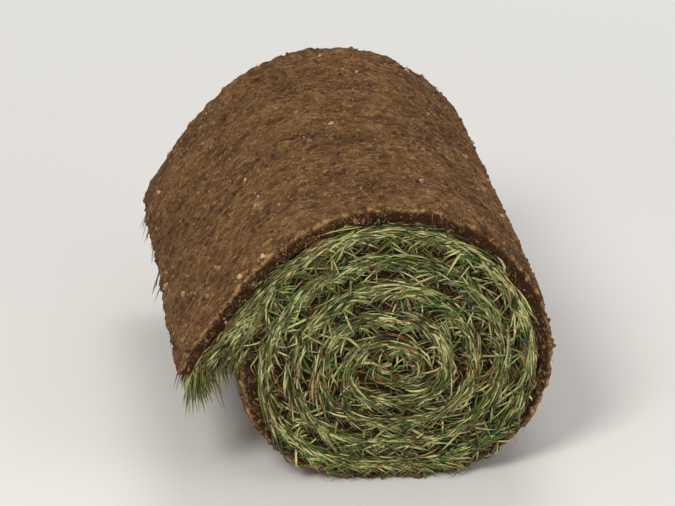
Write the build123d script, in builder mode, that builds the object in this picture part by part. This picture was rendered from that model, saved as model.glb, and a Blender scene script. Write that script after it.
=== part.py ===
from build123d import *
from math import ceil, cos, radians, sin
import os

# Roll of turf: one strip of cut lawn, rolled up with the grass inside and the root mat outside.
# It lies along Y on a level floor, with its front end facing -Y. All sizes are in millimetres.

# The strip
strip_width = 400  # from cut edge to cut edge, which is the length of the roll
soil_thickness = 16  # soil and roots, as thick in every turn
side_grass_thickness = 6.5  # grass between two turns, at the flanks of the roll
top_grass_thickness = 8  # the same grass above the eye, where the turns are loose
bottom_grass_thickness = 2.5  # and below the eye, where the weight of the roll presses it thin

# The winding, from the eye outwards, anticlockwise as seen from the front
eye_width = 30
eye_height = 14
turns = 5.75
tail_angle = 180  # where the strip's outer end lies, measured from +X towards +Z

# The grass shows on both ends as a gap between the turns of soil
gap_depth = 12
gap_start = 0.25  # turns from the eye, so that soil closes round it
tail_loose_angle = 50  # how far back the strip's outer end stands off the turn beneath
tail_lift = 28  # how much further out than the winding that end stands
tail_corner_radius = 5  # its worn corners
fringe_angle = 36  # how far back under the tail its loose grass starts
fringe_thickness = 15  # that grass, at the strip's end
fringe_drop = 24  # how far it hangs below the strip's end
fringe_root_depth = 8  # how deep the fringe is rooted in the soil

# How the soft, heavy roll settles on what it lies on
sag = 0.4  # how much squarer than an ellipse the underside is
pressed_depth = 1.5  # depth of the underside that the floor presses flat

round_section = 2  # the exponent of an ellipse
arc_angle = 20  # the longest stretch of a winding curve that one arc follows, in degrees
start_angle = tail_angle - 360 * turns
under_tail = tail_angle - 360  # the turn that the tail lies on
tail_seat = under_tail - tail_loose_angle  # where the tail meets that turn


def winding_point(angle, depth):
    """A point of the strip at an angle along the winding, so deep under the outside of its soil."""
    turn = (angle - start_angle) / 360
    across = cos(radians(angle))
    up = sin(radians(angle))
    grass_thickness = top_grass_thickness if up > 0 else bottom_grass_thickness
    looseness = max(0, 1 - (tail_angle - angle) / tail_loose_angle)
    half_width = eye_width / 2 + turn * (soil_thickness + side_grass_thickness) - depth
    half_width += tail_lift * looseness**2
    half_height = eye_height / 2 + turn * (soil_thickness + grass_thickness) - depth
    squareness = round_section + sag * max(0, -up)
    reach = abs(across / half_width) ** squareness + abs(up / half_height) ** squareness
    radius = reach ** (-1 / squareness)
    return (radius * across, radius * up)


def winding_curve(first_angle, last_angle, depth=0):
    """A chain of arcs along the winding. Returns where it begins and where it ends."""
    arcs = ceil((last_angle - first_angle) / arc_angle)
    step = (last_angle - first_angle) / (2 * arcs)
    points = [winding_point(first_angle + i * step, depth) for i in range(2 * arcs + 1)]
    for i in range(0, 2 * arcs, 2):
        ThreePointArc(points[i], points[i + 1], points[i + 2])
    return points[0], points[-1]


def grass_band(first_angle, last_angle):
    """The closed outline of the grass between each turn of soil and the next one out."""
    inner_start, inner_end = winding_curve(first_angle, last_angle)
    outer_start, outer_end = winding_curve(first_angle + 360, last_angle + 360, soil_thickness)
    Line(inner_start, outer_start)
    Line(inner_end, outer_end)


# The section: the last full turn is the outline, and its step is the cut end of the strip
with BuildSketch() as section:
    with BuildLine():
        Line(*winding_curve(under_tail, tail_angle))
    make_face()
    # the weight of the roll presses its lowest part flat
    outline = section.sketch.bounding_box()
    with Locations((outline.center().X, outline.min.Y)):
        Rectangle(outline.size.X, 2 * pressed_depth, mode=Mode.SUBTRACT)
    # the eye, squashed to an oval, runs through the whole length
    Ellipse(eye_width / 2, eye_height / 2, mode=Mode.SUBTRACT)
    # the outer end of the strip stands off the turn beneath it along the whole length
    with BuildLine():
        grass_band(tail_seat, under_tail)
    make_face(mode=Mode.SUBTRACT)
    tail_corners = section.vertices().filter_by(lambda v: abs(v.Y) < 0.01).sort_by(Axis.X)[:2]
    fillet(tail_corners, radius=tail_corner_radius)
    # grass hangs out from under the tail, thicker towards its tip
    with BuildLine():
        fringe_start, fringe_end = winding_curve(tail_angle - fringe_angle, tail_angle, fringe_root_depth)
        tip = (fringe_end[0] + fringe_thickness / 2, -fringe_drop)
        belly = winding_point(tail_angle, soil_thickness + fringe_thickness)
        Line(fringe_end, tip)
        ThreePointArc(tip, belly, fringe_start)
    make_face()

# The grass gap that winds out from the eye to where the tail stands off
with BuildSketch() as grass_gap:
    with BuildLine():
        grass_band(start_angle + 360 * gap_start, tail_seat)
    make_face()

# Both ends look along the roll from the front, over the middle of the footprint
footprint = section.sketch.bounding_box()
middle = -footprint.center().X
floor = -footprint.min.Y
front_end = Plane(origin=(middle, -strip_width / 2, floor), x_dir=(1, 0, 0), z_dir=(0, -1, 0))
back_end = front_end.offset(-strip_width)

with BuildPart() as turf_roll:
    with BuildSketch(back_end):
        add(section.sketch)
    extrude(amount=strip_width)
    with BuildSketch(front_end):
        add(grass_gap.sketch)
    extrude(amount=-gap_depth, mode=Mode.SUBTRACT)
    with BuildSketch(back_end):
        add(grass_gap.sketch)
    extrude(amount=gap_depth, mode=Mode.SUBTRACT)

turf_roll.part.label = "turf_roll"
os.makedirs("parts", exist_ok=True)
export_step(turf_roll.part, "parts/turf_roll.step")
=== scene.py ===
from functools import partialmethod

import bmesh
import bpy
import numpy as np
from bpy.props import FloatProperty, FloatVectorProperty, IntProperty, PointerProperty
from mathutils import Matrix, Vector, noise


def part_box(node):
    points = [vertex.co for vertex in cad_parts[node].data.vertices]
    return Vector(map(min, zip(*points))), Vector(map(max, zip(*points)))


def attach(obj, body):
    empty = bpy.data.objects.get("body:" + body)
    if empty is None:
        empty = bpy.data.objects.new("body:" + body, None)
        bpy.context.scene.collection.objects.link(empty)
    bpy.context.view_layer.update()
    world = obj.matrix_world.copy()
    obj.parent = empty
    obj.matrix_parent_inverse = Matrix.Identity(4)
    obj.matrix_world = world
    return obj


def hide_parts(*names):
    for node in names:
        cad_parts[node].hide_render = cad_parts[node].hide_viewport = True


bl_info = {
    "name": "Roll of turf",
    "version": (1, 0, 0),
    "blender": (4, 5, 0),
    "location": "3D View > Sidebar > Turf",
    "description": "Dresses the packed roll of turf with soil, roots and grass",
    "category": "Object",
}

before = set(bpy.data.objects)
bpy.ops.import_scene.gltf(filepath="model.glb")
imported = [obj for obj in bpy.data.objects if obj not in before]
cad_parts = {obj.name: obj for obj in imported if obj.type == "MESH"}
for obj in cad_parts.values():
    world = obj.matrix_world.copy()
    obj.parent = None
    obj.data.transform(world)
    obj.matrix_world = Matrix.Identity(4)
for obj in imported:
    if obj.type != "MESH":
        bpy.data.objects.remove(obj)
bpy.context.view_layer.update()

ROLL_NODE = "turf_roll"
BODY = "root"
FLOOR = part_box(ROLL_NODE)[0][2]
TURN = 2 * np.pi
MM = 0.001


# Sizes and colours that a user would change

def setting(kind, **limits):
    """Makes settings of one kind, each from its name, description and default."""
    def made(name, description, default):
        return kind(name=name, description=description, default=default, **limits)

    return made


length = setting(FloatProperty, min=0, precision=4, unit="LENGTH")
turned = setting(FloatProperty, subtype="ANGLE")
number = setting(FloatProperty)
amount = setting(IntProperty, min=0)
colour = setting(FloatVectorProperty, size=3, min=0, max=1, subtype="COLOR")


class RollSizes(bpy.types.PropertyGroup):
    """How the strip is wound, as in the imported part."""

    soil_thickness: length("Soil", "Soil and roots, in every turn", 16 * MM)
    side_grass: length("Grass at the flanks", "Between two turns, beside the eye", 6.5 * MM)
    top_grass: length("Grass above", "Between two turns, above the eye", 8 * MM)
    bottom_grass: length("Grass below", "Between two turns, below the eye", 2.5 * MM)
    eye_width: length("Eye width", "Width of the hole in the middle", 30 * MM)
    eye_height: length("Eye height", "Height of the hole in the middle", 14 * MM)
    turns: number("Turns", "Turns from the eye to the tail", 5.75)
    tail_angle: turned("Tail", "Where the outer end lies, from +X towards +Z", np.pi)
    gap_start: number("First grass", "Turns from the eye to the grass", 0.25)
    tail_loose: turned("Loose tail", "How far back the tail stands off", 50 * TURN / 360)
    tail_lift: length("Lifted tail", "How far outside the winding the tail stands", 28 * MM)
    sag: number("Sag", "How much squarer the underside is", 0.4)
    pressed_depth: length("Pressed flat", "Depth of the underside that the floor flattens", 1.5 * MM)


class SoilLook(bpy.types.PropertyGroup):
    """Soil, roots and stones."""

    grid: length("Grid", "Spacing of the soil's faces", 2.5 * MM)
    lump_height: length("Lumps", "How far the soil's surface rolls", 1.8 * MM)
    clod_height: length("Clods", "How rough the soil is between the roots", 1.3 * MM)
    crack_depth: length("Cracks", "Depth of the cracks where the strip is bent", 1.5 * MM)
    ragged: length("Ragged edge", "How uneven the cut edges are", 1.6 * MM)
    rim_loss: length("Worn rims", "Soil crumbled off the cut edges' rims", 2.2 * MM)
    worn: length("Worn corners", "Soil crumbled off the outer corners", 6 * MM)
    roots: amount("Roots", "Roots that lie on the outer turn", 1500)
    edge_roots: amount("Edge roots", "Roots that stick out of the cut edges", 900)
    crumbs: amount("Crumbs", "Loose crumbs of soil", 5500)
    # painted shade: this colour also stands for the shade in the soil's hollows and on the cut edges
    # between the turns
    damp_and_shaded: colour("Damp soil", "Soil in hollows and inside the strip", (0.036, 0.014, 0.005))
    plain: colour("Soil", "Soil over most of the surface", (0.162, 0.076, 0.027))
    # the relief also lifts the tone towards this colour on ridges, as the other side of the painted shade
    # in hollows
    dry: colour("Dry soil", "Soil on ridges", (0.335, 0.18, 0.069))
    root: colour("Root", "The mat of fine roots", (0.48, 0.292, 0.125))
    stone: colour("Stone", "Small stones in the soil", (0.56, 0.425, 0.255))
    thatch: colour("Thatch", "Dead grass next to the soil", (0.15, 0.075, 0.022))


class GrassLook(bpy.types.PropertyGroup):
    """Blades of grass."""

    blades: amount("Blades", "Blades that show on each end", 8700)
    thatch: amount("Thatch", "Short dead stems on each end", 3300)
    tail_blades: amount("Blades under the tail", "Blades under the outer end", 4200)
    shortest: length("Shortest", "Shortest blade", 12 * MM)
    longest: length("Longest", "Longest blade", 42 * MM)
    width: length("Width", "Width of a blade", 2.3 * MM)
    overhang: length("Overhang", "How far the blades reach past the soil", 8.5 * MM)
    bare_band: length("Bare edge", "Soil that shows outside the outermost grass", 15.5 * MM)
    # painted shade: the darkest blades also stand for the shade deep among the grass
    dark_and_shaded: colour("Dark", "Oldest blades", (0.02, 0.03, 0.005))
    green: colour("Green", "Most blades", (0.125, 0.155, 0.017))
    fresh: colour("Fresh", "Patches of fresher blades", (0.065, 0.16, 0.022))
    # painted light: the brightest blades also stand for sunlit blades and their highlights
    bright: colour("Bright", "Youngest blades", (0.69, 0.68, 0.27))
    brown: colour("Brown", "Rotted blades", (0.13, 0.055, 0.016))
    tip: colour("Tips", "Dry tips left by the mower", (0.77, 0.71, 0.43))
    orange: colour("Orange", "Blades that have just died", (0.27, 0.14, 0.042))
    straw: colour("Straw", "Dead blades", (0.68, 0.53, 0.27))


class StageLook(bpy.types.PropertyGroup):
    """Floor, lamps and camera."""

    floor: colour("Floor", "Pale floor", (0.8, 0.79, 0.77))
    backdrop: colour("Backdrop", "Pale background", (0.8, 0.79, 0.765))
    azimuth: number("Azimuth", "Where the camera stands round the roll, in degrees", -7)
    elevation: number("Elevation", "How far up the camera stands, in degrees", 22)
    distance: length("Distance", "From the camera to the roll's middle", 3.04)
    lens: number("Lens", "Focal length in millimetres", 190)


# The winding

class Roll:
    """The path of the strip from the eye to its tail, in the frame's x and z. Angles are in radians, and
    lengths run along the flat strip from where its grass begins."""

    def __init__(self, sizes):
        self.sizes = sizes
        self.start = sizes.tail_angle - TURN * sizes.turns
        self.tail = sizes.tail_angle
        self.under_tail = self.tail - TURN
        self.eye = np.zeros(2)
        low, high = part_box(ROLL_NODE)
        self.front, self.back = low[1], high[1]
        x, z = self.point(np.linspace(self.under_tail, self.tail, 4 * 360 + 1))
        self.eye = np.array([high[0] - x.max(), low[2] - z.min() - sizes.pressed_depth])
        self.angles = np.linspace(self.start - TURN / 2, self.tail, 9000)
        x, z = self.point(self.angles)
        self.lengths = np.r_[0, np.cumsum(np.hypot(np.diff(x), np.diff(z)))]
        self.lengths -= self.length_at(self.start + TURN * sizes.gap_start)
        self.outer_start = self.length_at(self.under_tail)
        self.tail_end = self.lengths[-1]

    def point(self, angle, depth=0.0):
        """Points of the strip at angles along the winding, so deep under its outside."""
        s = self.sizes
        turn = (angle - self.start) / TURN
        across, up = np.cos(angle), np.sin(angle)
        grass = np.where(up > 0, s.top_grass, s.bottom_grass)
        looseness = np.maximum(0, 1 - (self.tail - angle) / s.tail_loose)
        half_width = s.eye_width / 2 + turn * (s.soil_thickness + s.side_grass) - depth
        half_width = np.maximum(half_width + s.tail_lift * looseness**2, 3 * MM)
        half_height = np.maximum(s.eye_height / 2 + turn * (s.soil_thickness + grass) - depth, 2 * MM)
        squareness = 2 + s.sag * np.maximum(0, -up)
        reach = abs(across / half_width) ** squareness + abs(up / half_height) ** squareness
        radius = reach ** (-1 / squareness)
        return self.eye[0] + radius * across, self.eye[1] + radius * up

    def tangent(self, angle):
        """Unit vectors along the winding, towards the tail."""
        step = 0.002
        x, z = np.subtract(self.point(angle + step), self.point(angle - step))
        size = np.maximum(np.hypot(x, z), 1e-9)
        return x / size, z / size

    def soil(self, angle, share, lift=0.0):
        """Points inside the soil, from its outside at share 0 to its grass side at 1, moved out by lift.
        It thins out at the strip's inner end, so that the eye stays open, and at the tail."""
        s = self.sizes
        x, z = self.point(angle)
        to_eye = np.hypot(x - self.eye[0], z - self.eye[1])
        rim = 1 / np.hypot(np.cos(angle) / (s.eye_width / 2), np.sin(angle) / (s.eye_height / 2))
        thickness = np.minimum(s.soil_thickness, 0.9 * (to_eye - rim))
        tail_thinning, thinning_angle = 0.36, 0.4
        thickness *= 1 - tail_thinning * smooth(angle, self.tail - thinning_angle, self.tail)
        x, z = self.point(angle, thickness * share)
        along_x, along_z = self.tangent(angle)
        return x + along_z * lift, z - along_x * lift

    def grass(self, angle, share, fan=0.0):
        """Points in the grass, from its roots at share 0 to the turn inside it at 1, moved in by fan."""
        angle = np.minimum(angle, self.under_tail)
        roots = np.array(self.soil(angle + TURN, 1.0))
        gap = self.point(angle) - roots
        return roots + gap * share + gap / np.maximum(np.hypot(*gap), 1e-6) * fan

    def from_eye(self, path):
        """How far a path's points are from the eye, and in which direction."""
        x, z = path[..., 0] - self.eye[0], path[..., 2] - self.eye[1]
        return np.hypot(x, z), np.arctan2(z, x)

    def move(self, path, share):
        """Moves a path's points to a share of their distance from the eye."""
        for axis, eye in zip((0, 2), self.eye):
            path[..., axis] = eye + (path[..., axis] - eye) * share
        path[..., 2] = np.maximum(path[..., 2], FLOOR + 0.6 * MM)
        return path

    def distance_to(self, angle):
        """How far from the eye the outside of the soil lies."""
        return np.hypot(*(np.array(self.point(angle)) - self.eye[:, None, None]))

    def length_at(self, angle):
        return np.interp(angle, self.angles, self.lengths)

    def angle_at(self, strip_length):
        return np.interp(strip_length, self.lengths, self.angles)


# Shapes

def fractal(place, size, octaves, seed):
    """Smooth random values about zero at (x, y, z), with features as wide as the size."""
    points = np.stack(np.broadcast_arrays(*place), axis=-1) / size
    offset = Vector((17.3 * seed, 5.1 * seed, 29.7 * seed))
    fading, step = 0.9, 2.0  # how fast the octaves fade, and how much finer each one is
    values = [noise.fractal(Vector(p) + offset, fading, step, octaves) for p in points.reshape(-1, 3)]
    return np.array(values).reshape(points.shape[:-1])


def smooth(value, low, high):
    """0 below low, 1 above high, and smooth between them."""
    t = np.clip((value - low) / (high - low), 0, 1)
    return t * t * (3 - 2 * t)


def unit(vectors):
    """Each vector at length 1."""
    return vectors / np.maximum(np.linalg.norm(vectors, axis=-1, keepdims=True), 1e-9)


def soil_relief(roll, look, along, across):
    """How far the outside of the soil stands out, at places on the flat strip."""
    flat = (along, across, 0)
    lumps = look.lump_height * fractal(flat, 60 * MM, 3, seed=1)
    clods = look.clod_height * fractal(flat, 11 * MM, 3, seed=2)
    grit = 0.5 * look.clod_height * fractal(flat, 5.5 * MM, 2, seed=12)
    # short cracks run across the strip, where bending has pulled the soil apart
    wander = 0.22 * fractal(flat, 30 * MM, 3, seed=3)
    stretched = (along / (17 * MM) + wander, across / (150 * MM), 0)
    near_crack = 1 - np.minimum(1, abs(fractal(stretched, 1, 1, seed=4)) / 0.07)
    cracked = smooth(fractal(flat, 48 * MM, 2, seed=5), 0.08, 0.38)
    cracks = look.crack_depth * near_crack * cracked
    # the cutting blade leaves faint scores along the strip
    scores = 0.1 * MM * fractal((along / (90 * MM), across / (3.5 * MM), 0), 1, 2, seed=6)
    # soil has crumbled away along the rims of the cut edges
    rim = (along, np.sign(across) * 0.5, 0)
    wear = 0.45 + fractal(rim, 26 * MM, 3, seed=13) + 0.7 * fractal(rim, 6 * MM, 2, seed=14)
    worn = look.rim_loss * np.maximum(0, wear) * smooth(abs(across), roll.back - 10 * MM, roll.back)
    return lumps + clods + grit - cracks + scores - worn


def edge_rag(roll, look, along, across, depth):
    """How far the ragged cut edges stand out, at a share of the soil's thickness."""
    end = np.sign(across) * 0.3
    edge = (along, end, depth * roll.sizes.soil_thickness)
    rag = look.ragged * (fractal(edge, 12 * MM, 3, seed=8) + 0.8 * fractal(edge, 4.5 * MM, 2, seed=9))
    crumbled = np.maximum(0, fractal((along, end, 0), 24 * MM, 3, seed=11) - 0.1)
    return rag - look.worn * crumbled * (1 - smooth(depth, 0.15, 0.55))


def strip_shift(along):
    """How far the strip has slid sideways as it was rolled."""
    return 1.4 * MM * fractal((along, 0, 0), 260 * MM, 2, seed=7)


def ring_places(roll, outer_step, inner_step, only_ends):
    """Places round the strip's section, across it and as a share of its thickness. The last is the first
    again. With only_ends, the broad sides have rows only that near the cut edges."""
    round_share = 0.16
    corner = round_share * roll.sizes.soil_thickness
    edge = (roll.back - roll.front) / 2

    def row(step):
        steps = max(3, round((2 * edge - 2 * corner) / step))
        across = np.linspace(-edge + corner, edge - corner, steps + 1)
        return across[abs(across) > edge - only_ends] if only_ends else across

    outer, inner = row(outer_step), row(inner_step)
    shares = np.array([0.05, round_share, 0.32, 0.5, 0.68, 1 - round_share, 0.95])
    bulge = np.array([0.3, 0.85, 1, 1, 1, 0.85, 0.3])
    edge_across = edge - corner + corner * bulge
    across = np.r_[outer, edge_across, inner[::-1], -edge_across[::-1], outer[:1]]
    share = np.r_[0 * outer, shares, 0 * inner + 1, shares[::-1], 0]
    return across, share


def new_object(data):
    """Puts a mesh, a lamp or a camera into the scene, under its own name."""
    made = bpy.data.objects.new(data.name, data)
    bpy.context.scene.collection.objects.link(made)
    return made


def finished_piece(mesh, material):
    """A piece that rides with the roll."""
    mesh.materials.append(material)
    piece = new_object(mesh)
    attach(piece, BODY)
    return piece


def store(mesh, name, values):
    """Stores a value or a vector at each vertex."""
    kind, field = ("FLOAT_VECTOR", "vector") if values.ndim == 2 else ("FLOAT", "value")
    mesh.attributes.new(name, kind, "POINT").data.foreach_set(field, values.astype(np.float32).ravel())


def soil_mesh(name, roll, look, first, last, inner_step, only_ends):
    """A closed stretch of the strip's soil, rolled up, between two lengths along it."""
    across, share = ring_places(roll, look.grid, inner_step, only_ends)
    rings = len(across) - 1
    closing = (0.12, 0.6, 0.9)  # the section shrinks to these at either end, which closes it
    stretch = np.linspace(first, last, round((last - first) / look.grid) + 1)
    along = np.r_[[first] * 3, stretch, [last] * 3]
    closed = np.r_[closing, np.ones(len(stretch)), closing[::-1]]
    columns = len(along) - 1

    bm = bmesh.new()
    bmesh.ops.create_grid(bm, x_segments=rings, y_segments=columns, size=1)
    mesh = bpy.data.meshes.new(name)
    bm.to_mesh(mesh)
    flat = np.array([v.co.xy for v in mesh.vertices])
    place, column = np.rint((flat + 1) / 2 * (rings, columns)).astype(int).T

    s, y = along[column], across[place]
    depth = 0.5 + (share[place] - 0.5) * closed[column]
    relief = soil_relief(roll, look, s, y)
    near_tail = smooth(s, roll.tail_end - 40 * MM, roll.tail_end)
    row = (y, depth * 0.01, 0)
    ripped = 3.2 * MM * fractal(row, 45 * MM, 3, seed=10) + 1.3 * MM * fractal(row, 8 * MM, 2, seed=15)
    torn = near_tail * (ripped - 1.8 * MM)
    tail_radius = 0.15
    outwards = 1 - 2 * depth
    lift = relief * np.where(outwards > 0, outwards, outwards * 0.5)
    x, z = roll.soil(roll.angle_at(s) + torn / tail_radius, depth, lift)
    z = np.maximum(z, FLOOR + 0.15 * MM)
    at_edge = smooth(abs(y), roll.back - 12 * MM, roll.back - 2 * MM)
    ragged = y + strip_shift(s) + np.sign(y) * at_edge * edge_rag(roll, look, s, y, depth)
    mesh.vertices.foreach_set("co", np.c_[x, ragged, z].ravel())
    store(mesh, "strip", np.c_[s, y, depth * roll.sizes.soil_thickness])
    store(mesh, "relief", relief)
    store(mesh, "share", depth)

    corners = [loop.vertex_index for loop in mesh.loops]
    uv = np.c_[column / columns, place / rings][corners]
    mesh.uv_layers.new(name="OFBake").data.foreach_set("uv", uv.ravel())
    bm.clear()
    bm.from_mesh(mesh)
    bmesh.ops.remove_doubles(bm, verts=bm.verts, dist=1e-7)
    bmesh.ops.holes_fill(bm, edges=bm.edges)
    bmesh.ops.recalc_face_normals(bm, faces=bm.faces)
    bm.to_mesh(mesh)
    bm.free()
    mesh.shade_smooth()
    return mesh


def stem_pattern(rings, pointed):
    """One three-sided stem: each vertex's ring and direction round the stem, the faces, and each corner's
    place on a map that has the sides beside each other."""
    bm = bmesh.new()
    tip_radius = 0 if pointed else 1
    bmesh.ops.create_cone(bm, cap_ends=True, segments=3, radius1=1, radius2=tip_radius, depth=rings - 1)
    half = (rings - 1) / 2
    for ring in range(1, rings - 1):
        whole = bm.verts[:] + bm.edges[:] + bm.faces[:]
        bmesh.ops.bisect_plane(bm, geom=whole, plane_co=(0, 0, ring - half), plane_no=(0, 0, 1))
    bmesh.ops.recalc_face_normals(bm, faces=bm.faces)
    bm.verts.index_update()
    ring = np.array([round(v.co.z + half) for v in bm.verts])
    around = unit(np.array([v.co.xy for v in bm.verts]))
    around[(ring == rings - 1) & pointed] = 0
    side = np.rint(np.arctan2(around[:, 1], around[:, 0]) / TURN * 3).astype(int) % 3
    faces = [[v.index for v in f.verts] for f in bm.faces]
    bm.free()
    places = []
    for face in faces:
        if len({ring[v] for v in face}) == 1:
            places += [(0.1 + 0.3 * side[v], 0.01 + 0.03 * (side[v] == 1)) for v in face]
            continue
        sides = [side[v] for v in face]
        lower = {side[v] for v in face if ring[v] < rings - 1}
        first = 2 if lower == {0, 2} else min(lower)
        for v in face:
            at_tip = ring[v] == rings - 1 and sides.count(side[v]) == 1 and len(face) == 3
            offset = 0.5 if at_tip else float(side[v] != first)
            places.append(((first + 0.1 + 0.8 * offset) / 3, 0.08 + 0.88 * ring[v] / (rings - 1)))
    return ring, around, faces, np.array(places)


def copies_mesh(name, places, faces, corner_map):
    """One mesh of many copies, placed as (copies, vertices, 3), with the faces and map of one copy."""
    copies, count = places.shape[:2]
    sizes = np.tile([len(f) for f in faces], copies)
    corners = (np.concatenate(faces)[None] + count * np.arange(copies)[:, None]).ravel()
    places[..., 2] = np.maximum(places[..., 2], FLOOR)  # nothing reaches below the floor
    mesh = bpy.data.meshes.new(name)
    mesh.vertices.add(copies * count)
    mesh.vertices.foreach_set("co", places.astype(np.float32).ravel())
    mesh.loops.add(len(corners))
    mesh.loops.foreach_set("vertex_index", corners.astype(np.int32))
    mesh.polygons.add(len(sizes))
    starts = np.r_[0, np.cumsum(sizes)[:-1]]
    mesh.polygons.foreach_set("loop_start", starts.astype(np.int32))
    mesh.update(calc_edges=True)
    # each copy has its own cell of the map
    cells = int(np.ceil(np.sqrt(copies)))
    cell = np.c_[np.arange(copies) % cells, np.arange(copies) // cells]
    uv = (cell[:, None] + corner_map[None]) / cells
    mesh.uv_layers.new(name="OFBake").data.foreach_set("uv", uv.astype(np.float32).ravel())
    return mesh


def stems_mesh(name, path, across, half_width, half_depth, pointed):
    """Stems along paths of (stems, rings, 3), with their wide directions, and one stem's rings."""
    rings = path.shape[1]
    ring, around, faces, corner_map = stem_pattern(rings, pointed)
    along = unit(np.gradient(path, axis=1))
    facing = unit(np.cross(across, along))
    across = np.cross(along, facing)
    places = (
        path[:, ring]
        + across[:, ring] * (around[:, 1] * half_width[:, ring])[..., None]
        + facing[:, ring] * (around[:, 0] * half_depth[:, ring])[..., None]
    )
    return copies_mesh(name, places, faces, corner_map), ring


def blade_mesh(name, path, across, width, tone, straw):
    """Flat, tapering blades of grass along many paths."""
    reach = np.linspace(0, 1, path.shape[1])
    taper = np.interp(reach, (0, 0.25, 0.6, 0.85, 1), (0.7, 1, 0.92, 0.6, 0.1))
    half_width = width[:, None] / 2 * taper / 0.87  # a triangle is narrower than the circle round it
    mesh, ring = stems_mesh(name, path, across, half_width, half_width * 0.22, True)
    blade = np.stack(np.broadcast_arrays(reach[ring][None], tone[:, None], straw[:, None]), axis=-1)
    store(mesh, "blade", blade.reshape(-1, 3))
    return mesh


# Materials

def opaque(shade):
    """A colour with its alpha, or a socket as it is."""
    return shade if isinstance(shade, bpy.types.NodeSocket) else (*shade, 1)


class Nodes:
    """Makes the nodes of a material, a group or the world. A pattern's size is its features in a metre."""

    def __init__(self, tree):
        self.tree = tree

    def feed(self, node, inputs):
        for name, value in inputs.items():
            if isinstance(value, bpy.types.NodeSocket):
                self.tree.links.new(value, node.inputs[name])
            else:
                node.inputs[name].default_value = value

    def add(self, kind, inputs, **settings):
        node = self.tree.nodes.new("ShaderNode" + kind)
        for name, value in settings.items():
            setattr(node, name, value)
        self.feed(node, inputs)
        return node.outputs

    def math(self, operation, first, second=0.0, clamp=False):
        return self.add("Math", {0: first, 1: second}, operation=operation, use_clamp=clamp)[0]

    plus = partialmethod(math, "ADD")
    minus = partialmethod(math, "SUBTRACT")
    times = partialmethod(math, "MULTIPLY")
    larger = partialmethod(math, "MAXIMUM")

    def spread(self, value, low, high, new_low=0.0, new_high=1.0):
        """The value's range from low to high, smoothly stretched to a new range."""
        ends = {"From Min": low, "From Max": high, "To Min": new_low, "To Max": new_high}
        return self.add("MapRange", {"Value": value, **ends}, interpolation_type="SMOOTHSTEP")["Result"]

    def mixed(self, factor, first, second, blend="MIX"):
        """Two colours mixed by a factor."""
        inputs = {0: factor, 6: opaque(first), 7: opaque(second)}
        return self.add("Mix", inputs, data_type="RGBA", blend_type=blend)[2]

    def ramp(self, value, *stops):
        """A colour ramp. Each stop is a place and a colour."""
        ramp = self.add("ValToRGB", {"Fac": value})["Color"]
        elements = ramp.node.color_ramp.elements
        for _ in stops[2:]:
            elements.new(0.5)
        for element, (place, shade) in zip(elements, stops):
            element.position, element.color = place, opaque(shade)
        return ramp

    def cloudy(self, place, size, detail, **more):
        """Soft random values about a half."""
        return self.add("TexNoise", {"Vector": place, "Scale": size, "Detail": detail, **more})["Fac"]

    def part(self, shade, name):
        return self.add("SeparateColor", {"Color": shade})[name]

    def attribute(self, name, output="Fac"):
        return self.add("Attribute", {}, attribute_name=name)[output]

    def place(self):
        return self.add("TexCoord", {})["Object"]

    def crumbly(self, place, scale):
        """The crumbly soil's tone, flecks and height."""
        group = bpy.data.node_groups.get("Crumbly soil") or crumbly_group()
        return self.add("Group", {"Vector": place, "Scale": scale}, node_tree=group)

    def bump(self, height, strength, distance):
        return self.add("Bump", {"Height": height, "Strength": strength, "Distance": distance})["Normal"]

    def seen_directly(self):
        """1 for what is seen, also in gloss or through something clear, and 0 for other light."""
        path = self.add("LightPath", {})
        sees = self.larger(path["Is Camera Ray"], path["Is Glossy Ray"])
        return self.larger(sees, path["Is Transmission Ray"])


def new_group(name, numbers, results):
    """A node group that takes a vector and numbers, and gives numbers."""
    group = bpy.data.node_groups.new(name, "ShaderNodeTree")
    sockets = [("Vector", "INPUT", "Vector")]
    sockets += [(number, "INPUT", "Float") for number in numbers]
    sockets += [(result, "OUTPUT", "Float") for result in results]
    for socket, way, kind in sockets:
        group.interface.new_socket(socket, in_out=way, socket_type="NodeSocket" + kind)
    given = group.nodes.new("NodeGroupInput").outputs[:len(numbers) + 1]
    return Nodes(group), given, group.nodes.new("NodeGroupOutput")


def root_lines_group():
    """A mat of fine roots: thin lines where a bent noise passes through its middle."""
    nodes, given, out = new_group("Root lines", ["Scale", "Thickness"], ["Mask"])
    place, scale, thickness = given
    lines = []
    for share, bend in ((1.0, 2.2), (2.3, 1.4)):
        field = nodes.cloudy(place, nodes.times(scale, share), 2.0, Distortion=bend)
        off_middle = nodes.math("ABSOLUTE", nodes.minus(field, 0.5))
        ratio = nodes.math("DIVIDE", off_middle, thickness)
        lines.append(nodes.minus(1.0, ratio, clamp=True))
    nodes.feed(out, {"Mask": nodes.larger(*lines)})
    return nodes.tree


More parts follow.
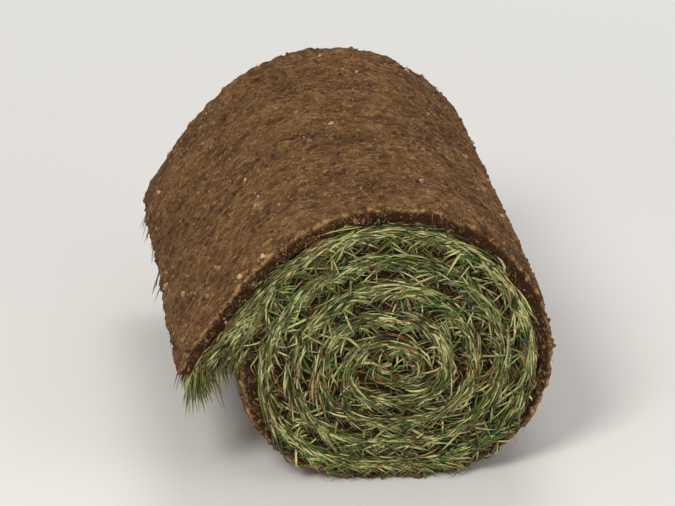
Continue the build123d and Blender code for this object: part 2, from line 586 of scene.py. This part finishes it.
def crumbly_group():
    """Crumbly soil: patches of tone, pale flecks and a fine height, with painted shade where it is low."""
    nodes, given, out = new_group("Crumbly soil", ["Scale"], ["Tone", "Flecks", "Height"])
    place, scale = given

    def cells(size):
        return nodes.add("TexVoronoi", {"Vector": place, "Scale": nodes.times(scale, size)})

    def cloudy(size, detail, roughness):
        return nodes.cloudy(place, nodes.times(scale, size), detail, Roughness=roughness)

    patches, grains = cloudy(28.0, 5.0, 0.62), cloudy(420.0, 4.0, 0.7)
    clods = cells(125.0)["Distance"]
    # painted shade: the grains and the crevices between the clods darken the tone where they lower the
    # height
    tone = nodes.plus(nodes.times(patches, 0.36), nodes.times(grains, 0.40))
    tone = nodes.minus(tone, nodes.times(clods, 0.14))
    for size, share in ((190.0, 0.19), (350.0, 0.15)):  # each grain has a tone of its own
        tone = nodes.plus(tone, nodes.times(nodes.part(cells(size)["Color"], "Green"), share))
    height = nodes.minus(grains, nodes.times(cells(380.0)["Distance"], 0.7))
    height = nodes.minus(height, nodes.times(clods, 1.3))
    flecks = []
    # a few cells are pale crumbs or cut ends of roots
    for size, rarest in ((180.0, 0.84), (360.0, 0.72)):
        cell = cells(size)
        chosen = nodes.spread(nodes.part(cell["Color"], "Red"), rarest, rarest + 0.18)
        flecks.append(nodes.times(chosen, nodes.spread(cell["Distance"], 0.2, 0.55, 1.0, 0.0)))
    nodes.feed(out, {"Tone": tone, "Flecks": nodes.larger(*flecks), "Height": height})
    return nodes.tree


def new_material(name):
    """A material, its nodes and its shader."""
    material = bpy.data.materials.new(name)
    material.use_nodes = True
    return material, Nodes(material.node_tree), material.node_tree.nodes["Principled BSDF"]


def soil_material(look):
    """Soil bound by roots on the outside, fading to thatch on the grass side."""
    material, nodes, shader = new_material("Root mat")
    strip, share = nodes.attribute("strip", "Vector"), nodes.attribute("share")
    crumbly = nodes.crumbly(strip, 1.0)
    mat = {"Vector": strip, "Scale": 75.0, "Thickness": 0.022}
    roots = nodes.add("Group", mat, node_tree=root_lines_group())["Mask"]
    # painted shade: the tone follows the relief, darker in hollows and cracks than on ridges
    tone = nodes.plus(crumbly["Tone"], nodes.times(nodes.attribute("relief"), 50.0))
    # painted shade and moist soil: the cut edges inside the strip, between the turns, are darker
    tone = nodes.minus(tone, nodes.times(nodes.spread(share, 0.09, 0.24), 0.24))
    soil = nodes.ramp(tone, (0.24, look.damp_and_shaded), (0.50, look.plain), (0.78, look.dry))
    pale = nodes.larger(nodes.times(roots, 0.3), nodes.times(crumbly["Flecks"], 0.9))
    # a pale band of root colour runs along the rim of the cut edges
    rim = nodes.times(nodes.spread(share, 0.01, 0.05), nodes.spread(share, 0.16, 0.32, 1.0, 0.0))
    rim = nodes.times(rim, nodes.spread(crumbly["Tone"], 0.36, 0.56, 0.3, 0.95))
    root_share = nodes.times(nodes.larger(pale, rim), nodes.spread(tone, 0.2, 0.7, 0.3, 0.95))
    matted = nodes.mixed(root_share, soil, look.root)
    nodes.feed(shader, {
        "Base Color": nodes.mixed(nodes.spread(share, 0.78, 0.98), matted, look.thatch),
        "Roughness": 0.92,
        "Specular IOR Level": 0.12,
        "Normal": nodes.bump(nodes.plus(crumbly["Height"], nodes.times(roots, 0.5)), 0.9, 1.5 * MM),
    })
    return material


def grass_material(look):
    """Blades pale at the foot and dry at the tip, each with a tone of its own, some of them dead."""
    material, nodes, shader = new_material("Turf grass")
    reach, tone, straw = nodes.add("SeparateXYZ", {"Vector": nodes.attribute("blade", "Vector")})
    place = nodes.place()
    patches = nodes.spread(nodes.cloudy(place, 62.0, 2.0), 0.46, 0.60)
    middling = nodes.mixed(patches, look.green, look.fresh)
    # painted shade and light: low tones give the darkest blades and high tones the brightest
    darker = nodes.mixed(nodes.spread(tone, 0.05, 0.45), look.dark_and_shaded, middling)
    green = nodes.mixed(nodes.spread(tone, 0.45, 0.98), darker, look.bright)
    footed = nodes.mixed(nodes.spread(reach, 0.0, 0.28, 0.6, 0.0), green, look.bright)
    tipped = nodes.mixed(nodes.spread(reach, 0.78, 0.98, 0.0, 0.7), footed, look.tip)
    dead = nodes.ramp(tone, (0.0, look.brown), (0.4, look.orange), (1.0, look.straw))
    streaks = nodes.ramp(nodes.cloudy(place, 260.0, 3.0), (0.3, (0.62,) * 3), (0.7, (1.0,) * 3))
    nodes.feed(shader, {
        "Base Color": nodes.mixed(1.0, nodes.mixed(straw, tipped, dead), streaks, "MULTIPLY"),
        "Roughness": nodes.spread(straw, 0, 1, 0.42, 0.8),
        "Specular IOR Level": 0.3,
    })
    return material


def between(first, second):
    """The colour halfway between two."""
    return tuple((a + b) / 2 for a, b in zip(first, second))


def root_material(look):
    """Fine roots, tan with darker, soiled stretches."""
    material, nodes, shader = new_material("Fine roots")
    field = nodes.cloudy(nodes.place(), 110.0, 3.0)
    pale = tuple(c * 1.25 for c in look.root)
    shade = nodes.ramp(field, (0.35, between(look.plain, look.dry)), (0.6, look.root), (0.8, pale))
    nodes.feed(shader, {"Base Color": shade, "Roughness": 0.8})
    return material


def crumb_material(look):
    """Crumbs of soil, with a few pale stones among them."""
    material, nodes, shader = new_material("Soil crumbs")
    crumbly = nodes.crumbly(nodes.place(), 1.2)
    tone = nodes.plus(crumbly["Tone"], nodes.attribute("tone"))
    soil = nodes.ramp(tone, (0.3, look.damp_and_shaded), (0.5, look.plain), (0.75, look.dry))
    stones = nodes.ramp(crumbly["Tone"], (0.42, between(look.plain, look.dry)), (0.62, look.stone))
    nodes.feed(shader, {
        "Base Color": nodes.mixed(nodes.attribute("stone"), soil, stones),
        "Roughness": 0.9,
        "Normal": nodes.bump(crumbly["Height"], 0.6, 0.6 * MM),
    })
    return material


def floor_material(look):
    """A plain pale floor, which fades to the backdrop far from the roll."""
    material, nodes, shader = new_material("Pale floor")
    place = nodes.place()
    worn = tuple(c * 0.985 for c in look.floor)
    shade = nodes.ramp(nodes.cloudy(place, 3.0, 2.0), (0.3, worn), (0.7, look.floor))
    nodes.feed(shader, {"Base Color": shade, "Roughness": 0.85})
    away = nodes.add("VectorMath", {0: place}, operation="LENGTH")["Value"]
    far = nodes.times(nodes.spread(away, 0.45, 1.7), nodes.seen_directly())
    pale = nodes.add("Emission", {"Color": opaque(look.backdrop), "Strength": 1.0})[0]
    surface = nodes.add("MixShader", {0: far, 1: shader.outputs[0], 2: pale})[0]
    nodes.feed(nodes.tree.nodes["Material Output"], {"Surface": surface})
    return material


# Grass

def blade_sizes(rng, look, clump, reach, withered):
    """Random lengths, widths and tones of blades, which are dead, and painted light where they reach out.
    """
    count = len(clump)
    lengths = look.shortest + (look.longest - look.shortest) * rng.beta(1.6, 2.2, count)
    width = look.width * rng.uniform(0.55, 1.25, count)
    straw = (rng.random(count) < 0.13 - 0.15 * clump + 0.5 * withered).astype(float)
    # painted light and shade: blades that reach further out get a lighter tone, deeper ones a darker one
    tone = np.clip(0.44 + 0.75 * clump + 0.42 * reach + rng.normal(0, 0.24, count), 0, 1)
    return lengths, width, tone, straw


def clumps(place, seed):
    """How bright and how withered the grass is at places."""
    return fractal(place, 11 * MM, 2, seed), fractal(place, 45 * MM, 2, seed + 10)


def facing_across(rng, path, facing, looseness):
    """Wide directions of blades whose flat sides look roughly one way."""
    facing = unit(facing + looseness * rng.normal(0, 1, (len(path), 3)))
    along = unit(np.gradient(path, axis=1))
    return unit(np.cross(along, facing[:, None]))


def off_the_edge(roll, path, band, in_wedge):
    """Keeps blades off the outer turn's cut edge by a band of soil for each blade, but not low down, nor
    where they hang out of the wedge under the tail."""
    reach, around = roll.from_eye(path)
    around = roll.tail - (roll.tail - around) % TURN
    limit = roll.distance_to(around) - band[:, None] * smooth(np.sin(around), -0.75, -0.2)
    soft, wedge_angle = 3 * MM, 0.6
    over = np.maximum(0, reach - limit + soft)
    hanging_out = in_wedge[:, None] & (around < roll.under_tail + wedge_angle)
    pulled = np.where((over > 0) & ~hanging_out, limit - soft * np.exp(-over / soft), reach)
    return roll.move(path, pulled / np.maximum(reach, 1e-6))


def end_paths(roll, look, rng, blades, sideways, looseness, rings=5):
    """Paths of blades on one end, and their wide directions. Each is rooted at an angle and a share of
    the gap, comes out from its depth to its reach, and lies along the winding, off it by its heading."""
    angle, share, depth, reach, lengths, heading, limp = (values[:, None] for values in blades)
    t = np.linspace(0, 1, rings)
    along = roll.length_at(angle) + lengths * np.cos(heading) * t
    out = (depth + reach) * (1 - (1 - t) ** 2) - depth
    fan = lengths * np.sin(heading) * t**1.3
    x, z = roll.grass(roll.angle_at(along), share, fan)
    z = z - limp * lengths * t**2 * smooth(out, -1 * MM, 3 * MM)
    path = np.stack((x, sideways * (roll.back + out), z), axis=-1)
    band = look.bare_band * (1 - 0.85 * rng.random(len(path)) ** 6)  # a few blades lie over the edge
    in_wedge = blades[0] > roll.under_tail - roll.sizes.tail_loose
    path = off_the_edge(roll, path, band, in_wedge)
    return path, facing_across(rng, path, (0, sideways, 0.3), looseness)


def along_the_gap(roll, rng, count):
    """Random angles along the grass, with more of them at the eye and where the gap is wide."""
    wedge_share, eye_share = 0.07, 0.03
    loose, last = roll.length_at(roll.under_tail - roll.sizes.tail_loose), roll.outer_start
    in_wedge = rng.random(count) < wedge_share
    strip = np.where(in_wedge, rng.uniform(loose, last, count), rng.uniform(0, last, count))
    strip = np.where(rng.random(count) < eye_share, rng.uniform(roll.lengths[0], 0, count), strip)
    return roll.angle_at(strip)


def headings(roll, rng, angle, combed, stray):
    """How far blades turn off the winding's line: combed for most, and any way for the stray share."""
    count = len(angle)
    mouth_angle, backward = 0.34, 0.42
    at_mouth = angle > roll.under_tail - mouth_angle
    heading = np.where(rng.random(count) < stray, rng.normal(0, 1.0, count), rng.normal(0, combed, count))
    heading = np.where(at_mouth, 0.3 * heading, heading)
    return np.where((rng.random(count) < backward) | at_mouth, np.pi - heading, heading)


def end_grass(roll, look, rng, sideways):
    """The blades that show on one end of the roll."""
    count = look.blades
    angle = along_the_gap(roll, rng, count)
    clump, withered = clumps((roll.length_at(angle), 0, 0), 20 + sideways)
    share, rank = rng.beta(1.3, 1.3, count), rng.beta(1.5, 1.5, count)
    reach = look.overhang * (0.08 + 0.92 * rank)
    # painted light and shade: the further a blade reaches out, the lighter its tone
    lengths, width, tone, straw = blade_sizes(rng, look, clump, rank - 0.5, withered)
    heading = headings(roll, rng, angle, combed=0.2, stray=0.13)
    depth, limp = rng.uniform(0, 9, count) * MM, rng.uniform(0, 0.3, count)
    blades = (angle, share, depth, reach, lengths, heading, limp)
    return *end_paths(roll, look, rng, blades, sideways, 0.45), width, tone, straw


def end_thatch(roll, look, rng, sideways):
    """Short dead stems at the foot of the grass on one end of the roll."""
    count = look.thatch
    angle = along_the_gap(roll, rng, count)
    share = rng.choice((0.0, 1.0), count, p=(0.72, 0.28)) + rng.normal(0, 0.1, count)
    heading = headings(roll, rng, angle, combed=0.6, stray=0.3)
    depth, reach = rng.uniform(0, 4, count) * MM, rng.uniform(0.2, 4, count) * MM
    lengths, limp = rng.uniform(5, 15, count) * MM, rng.uniform(0, 0.3, count)
    stems = (angle, share, depth, reach, lengths, heading, limp)
    path, across = end_paths(roll, look, rng, stems, sideways, 0.8, rings=4)
    return path, across, rng.uniform(0.5, 1.3, count) * MM, rng.uniform(0, 0.85, count), np.ones(count)


def hanging(place, direction, lengths, limp, rings=5):
    """Paths of blades that set out in a direction and bend down under their own weight."""
    step = (lengths / (rings - 1))[:, None]
    direction = unit(direction)
    path = np.empty((len(place), rings, 3))
    for ring in range(rings):
        path[:, ring] = place
        place = place + direction * step
        direction = unit(direction - limp[:, None] * (0, 0, 1))
    return path


def off_the_turn(roll, path):
    """Keeps the blades under the tail off the turn that they lie on."""
    reach, around = roll.from_eye(path)
    around = roll.under_tail + (around - roll.tail + TURN / 2) % TURN - TURN / 2
    return roll.move(path, np.maximum(reach, roll.distance_to(around) + 1.5 * MM) / reach)


def tail_grass(roll, look, rng):
    """The blades that hang out from under the loose outer end."""
    count = look.tail_blades
    # a third of them grow near the two ends, where the wedge can be looked into
    end_share, end_band = 0.34, 38 * MM
    at_end = rng.random(count) < end_share
    y = rng.uniform(roll.front + 2 * MM, roll.back - 2 * MM, count)
    y = np.where(at_end, np.sign(y) * (roll.back - 1 * MM - end_band * rng.random(count) ** 1.6), y)
    furthest_back = roll.sizes.tail_loose * rng.random(count) ** 1.4
    angle = roll.tail - furthest_back * np.where(at_end, 0.9, 0.6)
    x, z = roll.soil(angle, 1.0)
    tx, tz = roll.tangent(angle)
    along, inwards = np.c_[tx, 0 * tx, tz], np.c_[-tz, 0 * tx, tx]
    clump, withered = clumps((y, roll.length_at(angle), 0), 23)
    rank = rng.uniform(-0.5, 0.5, count)
    lengths, width, tone, straw = blade_sizes(rng, look, clump, rank, withered)
    lowest = roll.eye[1] - rng.uniform(6, 36, count) * MM
    lengths = np.minimum(lengths * np.where(at_end, 1.6, 1.2), 1.15 * (z - lowest))
    lean, sweep = rng.uniform(-0.05, 1.7, count)[:, None], rng.normal(0, 0.3, count)[:, None]
    direction = along + lean * inwards + sweep * (0, 1.0, 0)
    path = hanging(np.c_[x, y, z], direction, lengths, rng.uniform(0.05, 0.3, count))
    edge = roll.back + 5 * MM
    path[..., 1] = path[..., 1].clip(-edge, edge)
    path = off_the_turn(roll, path)
    across = facing_across(rng, path, (-1, 0, 0.1), 0.6)
    return path, across, width, tone, straw


# Roots and crumbs

def on_soil(roll, look, along, across, height):
    """Points above the outer turn's soil, given on the flat strip."""
    relief = soil_relief(roll, look, along, across)
    x, z = roll.soil(roll.angle_at(along), 0.0, relief + height)
    return np.stack((x, across + strip_shift(along), z), axis=-1)


def root_paths(roll, look, rng, rings=5):
    """Roots that wander over the outer turn, mostly flat on it."""
    count, first, last = look.roots, roll.outer_start, roll.tail_end
    along, across = np.empty((2, count, rings))
    along[:, 0] = rng.uniform(first, last - 5 * MM, count)
    across[:, 0] = rng.uniform(roll.front + 3 * MM, roll.back - 3 * MM, count)
    heading = rng.uniform(0, TURN, count)
    turning = rng.normal(0, 0.25, count)
    step = rng.uniform(1.2 * MM, 6 * MM, count)
    for k in range(1, rings):
        heading = heading + turning + rng.normal(0, 0.4, count)
        along[:, k] = along[:, k - 1] + step * np.cos(heading)
        across[:, k] = across[:, k - 1] + step * np.sin(heading)
    along = np.clip(along, first - 20 * MM, last - 8 * MM)
    across = np.clip(across, roll.front + 5 * MM, roll.back - 5 * MM)
    highest = 1.4 * MM
    arch = np.sin(np.linspace(0, np.pi, rings)) * (rng.random(count) ** 6 * highest)[:, None]
    return on_soil(roll, look, along, across, 0.12 * MM + arch)


def edge_root_paths(roll, look, rng):
    """Short roots that stick out of the strip's cut edges, most of them on its outer turn."""
    count, first, last = look.edge_roots, roll.outer_start, roll.tail_end
    on_outer = rng.random(count) < 0.7
    strip = np.where(on_outer, rng.uniform(first, last, count), rng.uniform(0, last, count))
    angle, share = roll.angle_at(strip), rng.beta(1.0, 1.6, count)
    x, z = roll.soil(angle, 0.05 + 0.85 * share)
    side = rng.choice((-1, 1), count)
    tx, tz = roll.tangent(angle)
    sweep, lift = rng.normal(0, 0.9, count), rng.normal(0, 0.5, count)
    direction = np.c_[sweep * tx + lift * tz, side, sweep * tz - lift * tx]
    face = np.c_[x, side * (roll.back - 1 * MM), z]
    lengths, limp = rng.uniform(2, 7, count) * MM, rng.uniform(0, 0.6, count)
    path = hanging(face, direction, lengths, limp, rings=4)
    # they start inside the soil, because the cut edges are worn
    start = face - 6 * MM * np.c_[0 * x, side, 0 * x]
    return np.concatenate((start[:, None], path), axis=1)


def crumb_shapes(roll, look, rng):
    """Crumbs of soil pressed into the outer turn, as many deformed copies of one ball."""
    count = look.crumbs
    bm = bmesh.new()
    bmesh.ops.create_icosphere(bm, subdivisions=1, radius=1)
    bm.verts.index_update()
    ball = np.array([v.co for v in bm.verts])
    faces = [[v.index for v in f.verts] for f in bm.faces]
    bm.free()
    # the crumbs lie closer together in some patches than in others
    along = rng.uniform(roll.outer_start, roll.tail_end - 8 * MM, 2 * count)
    across = rng.uniform(roll.front, roll.back, 2 * count)
    limit = roll.back - 1.8 * MM + np.minimum(0, edge_rag(roll, look, along, across, 0))
    across = np.clip(across, -limit, limit)
    crowded = fractal((along, across, 0), 35 * MM, 3, seed=16) + rng.normal(0, 0.35, 2 * count)
    kept = np.sort(np.argsort(crowded)[count:])
    along, across = along[kept], across[kept]
    stone_share, edge_share = 0.07, 0.17
    stone, in_edge = rng.random(count) < stone_share, rng.random(count) < edge_share
    # painted shade: crumbs in the cut edges are a little darker, as the soil there is
    tone = rng.normal(0, 0.13, count) - 0.1 * in_edge
    stone_radius = 0.7 + rng.exponential(0.75, count).clip(0, 3.6)
    radius = np.where(stone, stone_radius, 0.5 + rng.exponential(0.75, count).clip(0, 2.6)) * MM
    centre = on_soil(roll, look, along, across, radius * rng.uniform(-0.6, 0.1, count))
    # some of them lie in the cut edges
    side, share = rng.choice((-1, 1), count), rng.uniform(0.15, 0.85, count)
    x, z = roll.soil(roll.angle_at(along), share)
    y = strip_shift(along) + side * (roll.back + edge_rag(roll, look, along, side, share) - 0.5 * radius)
    centre = np.where(in_edge[:, None], np.c_[x, y, z], centre)
    centre[:, 2] = np.maximum(centre[:, 2], FLOOR + radius * 1.35)
    turned = unit(rng.normal(0, 1, (count, 3, 3)))
    turned[:, 2] = unit(np.cross(turned[:, 0], turned[:, 1]))
    turned[:, 1] = np.cross(turned[:, 2], turned[:, 0])
    lumpy = ball[None] * rng.uniform(0.7, 1.25, (count, len(ball), 1))
    lumpy = lumpy * rng.uniform(0.55, 1.25, (count, 1, 3))
    places = centre[:, None] + (lumpy @ turned) * radius[:, None, None]
    columns, rows = 5, len(faces) / 5
    cell = np.array([(i % columns, i // columns) for i in range(len(faces))])
    corner = np.array([(0.1, 0.1), (0.9, 0.1), (0.5, 0.9)])
    corner_map = ((cell[:, None] + corner[None]) / (columns, rows)).reshape(-1, 2)
    mesh = copies_mesh("soil_crumbs", places, faces, corner_map)
    store(mesh, "stone", np.repeat(stone, len(ball)))
    store(mesh, "tone", np.repeat(tone, len(ball)))
    return mesh


# The stage

def aimed(data, place, middle):
    """A lamp or a camera at a place, turned to the middle of the roll."""
    made = new_object(data)
    made.location = place
    made.rotation_euler = (middle - place).to_track_quat("-Z", "Y").to_euler()
    return made


# Operators

class TURF_OT_soil(bpy.types.Operator):
    """Roll up the strip of soil, as an outer turn and the turns inside it"""

    bl_idname = "turf.soil"
    bl_label = "Soil"

    def execute(self, context):
        sizes, look = context.scene.turf_sizes, context.scene.turf_soil
        roll, material = Roll(sizes), soil_material(look)
        join = roll.length_at(roll.under_tail - sizes.tail_loose - 0.1)
        for mesh in (
            soil_mesh("soil_outer_turn", roll, look, join, roll.tail_end, 8 * MM, 0),
            soil_mesh("soil_inner_turns", roll, look, 0, join, 4 * MM, 24 * MM),
        ):
            piece = finished_piece(mesh, material)
            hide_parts(ROLL_NODE)
        return {"FINISHED"}


class TURF_OT_grass(bpy.types.Operator):
    """Lay the blades of grass that show on both ends and under the tail"""

    bl_idname = "turf.grass"
    bl_label = "Grass"

    def execute(self, context):
        roll, look = Roll(context.scene.turf_sizes), context.scene.turf_grass
        material = grass_material(look)
        rng = np.random.default_rng(11)
        pieces = {
            "grass_front_end": end_grass(roll, look, rng, -1),
            "grass_back_end": end_grass(roll, look, rng, 1),
            "grass_under_tail": tail_grass(roll, look, rng),
            "thatch_front_end": end_thatch(roll, look, rng, -1),
            "thatch_back_end": end_thatch(roll, look, rng, 1),
        }
        for name, blades in pieces.items():
            finished_piece(blade_mesh(name, *blades), material)
        return {"FINISHED"}


class TURF_OT_roots(bpy.types.Operator):
    """Spread fine roots over the outer turn"""

    bl_idname = "turf.roots"
    bl_label = "Roots"

    def execute(self, context):
        roll, look = Roll(context.scene.turf_sizes), context.scene.turf_soil
        rng = np.random.default_rng(12)
        path = np.concatenate((root_paths(roll, look, rng), edge_root_paths(roll, look, rng)))
        path[..., 2] = np.maximum(path[..., 2], FLOOR + 0.3 * MM)
        thick = rng.uniform(0.13, 0.27, len(path))[:, None] * MM * (0.6, 1, 1, 0.8, 0.4)
        across = facing_across(rng, path, (0, 0, 1), 1.0)
        mesh, _ = stems_mesh("fine_roots", path, across, thick, thick, False)
        finished_piece(mesh, root_material(look))
        return {"FINISHED"}


class TURF_OT_crumbs(bpy.types.Operator):
    """Press crumbs of soil and a few stones into the outer turn"""

    bl_idname = "turf.crumbs"
    bl_label = "Crumbs"

    def execute(self, context):
        roll, look = Roll(context.scene.turf_sizes), context.scene.turf_soil
        mesh = crumb_shapes(roll, look, np.random.default_rng(13))
        finished_piece(mesh, crumb_material(look))
        return {"FINISHED"}


class TURF_OT_stage(bpy.types.Operator):
    """Add the floor, the soft light and the camera"""

    bl_idname = "turf.stage"
    bl_label = "Stage"

    def execute(self, context):
        scene, look = context.scene, context.scene.turf_stage
        scene.view_settings.view_transform = "Standard"
        low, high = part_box(ROLL_NODE)
        middle = (Vector(low) + Vector(high)) / 2

        bm = bmesh.new()
        bmesh.ops.create_circle(bm, cap_ends=True, segments=96, radius=9)
        mesh = bpy.data.meshes.new("floor")
        bm.to_mesh(mesh)
        bm.free()
        mesh.materials.append(floor_material(look))
        floor = new_object(mesh)

        world = scene.world = bpy.data.worlds.new("Studio")
        world.use_nodes = True
        nodes = Nodes(world.node_tree)
        light = nodes.tree.nodes["Background"]
        nodes.feed(light, {"Color": (1, 1, 1, 1), "Strength": 0.38})
        backdrop = nodes.add("Background", {"Color": opaque(look.backdrop), "Strength": 1.0})[0]
        surface = nodes.add("MixShader", {0: nodes.seen_directly(), 1: light.outputs[0], 2: backdrop})[0]
        nodes.feed(nodes.tree.nodes["World Output"], {"Surface": surface})

        lamps = (
            ("key_light", (-1.2, -1.9, 2.1), 1.0, 52, (1.0, 0.97, 0.92)),
            ("fill_light", (1.9, -1.5, 1.1), 2.0, 13, (1.0, 0.99, 0.97)),
            ("top_light", (0.5, 1.6, 2.6), 1.8, 26, (1.0, 0.98, 0.95)),
        )
        for name, place, size, power, shade in lamps:
            lamp = bpy.data.lights.new(name, "AREA")
            lamp.shape = "DISK"
            lamp.size, lamp.energy, lamp.color = size, power, shade
            aimed(lamp, Vector(place), middle)

        azimuth, elevation = np.radians(look.azimuth), np.radians(look.elevation)
        level = np.cos(elevation)
        away = Vector((np.sin(azimuth) * level, -np.cos(azimuth) * level, np.sin(elevation)))
        camera = bpy.data.cameras.new("camera")
        camera.lens = look.lens
        scene.camera = aimed(camera, middle + away * look.distance, middle)
        return {"FINISHED"}


class TURF_PT_sidebar(bpy.types.Panel):
    """Lists the steps that dress the roll"""

    bl_label = "Roll of turf"
    bl_space_type = "VIEW_3D"
    bl_region_type = "UI"
    bl_category = "Turf"

    def draw(self, context):
        for operator in OPERATORS:
            self.layout.operator(operator.bl_idname)
        for settings, kind in SETTINGS.items():
            box = self.layout.box()
            for name in kind.__annotations__:
                box.prop(getattr(context.scene, settings), name)


OPERATORS = (TURF_OT_soil, TURF_OT_grass, TURF_OT_roots, TURF_OT_crumbs, TURF_OT_stage)
SETTINGS = {
    "turf_sizes": RollSizes,
    "turf_soil": SoilLook,
    "turf_grass": GrassLook,
    "turf_stage": StageLook,
}
CLASSES = (*SETTINGS.values(), *OPERATORS, TURF_PT_sidebar)


def register():
    for made in CLASSES:
        bpy.utils.register_class(made)
    for name, settings in SETTINGS.items():
        setattr(bpy.types.Scene, name, PointerProperty(type=settings))


def unregister():
    for name in SETTINGS:
        delattr(bpy.types.Scene, name)
    for made in reversed(CLASSES):
        bpy.utils.unregister_class(made)


def main():
    register()
    bpy.ops.turf.soil()
    bpy.ops.turf.grass()
    bpy.ops.turf.roots()
    bpy.ops.turf.crumbs()
    bpy.ops.turf.stage()


if __name__ == "__main__":
    main()
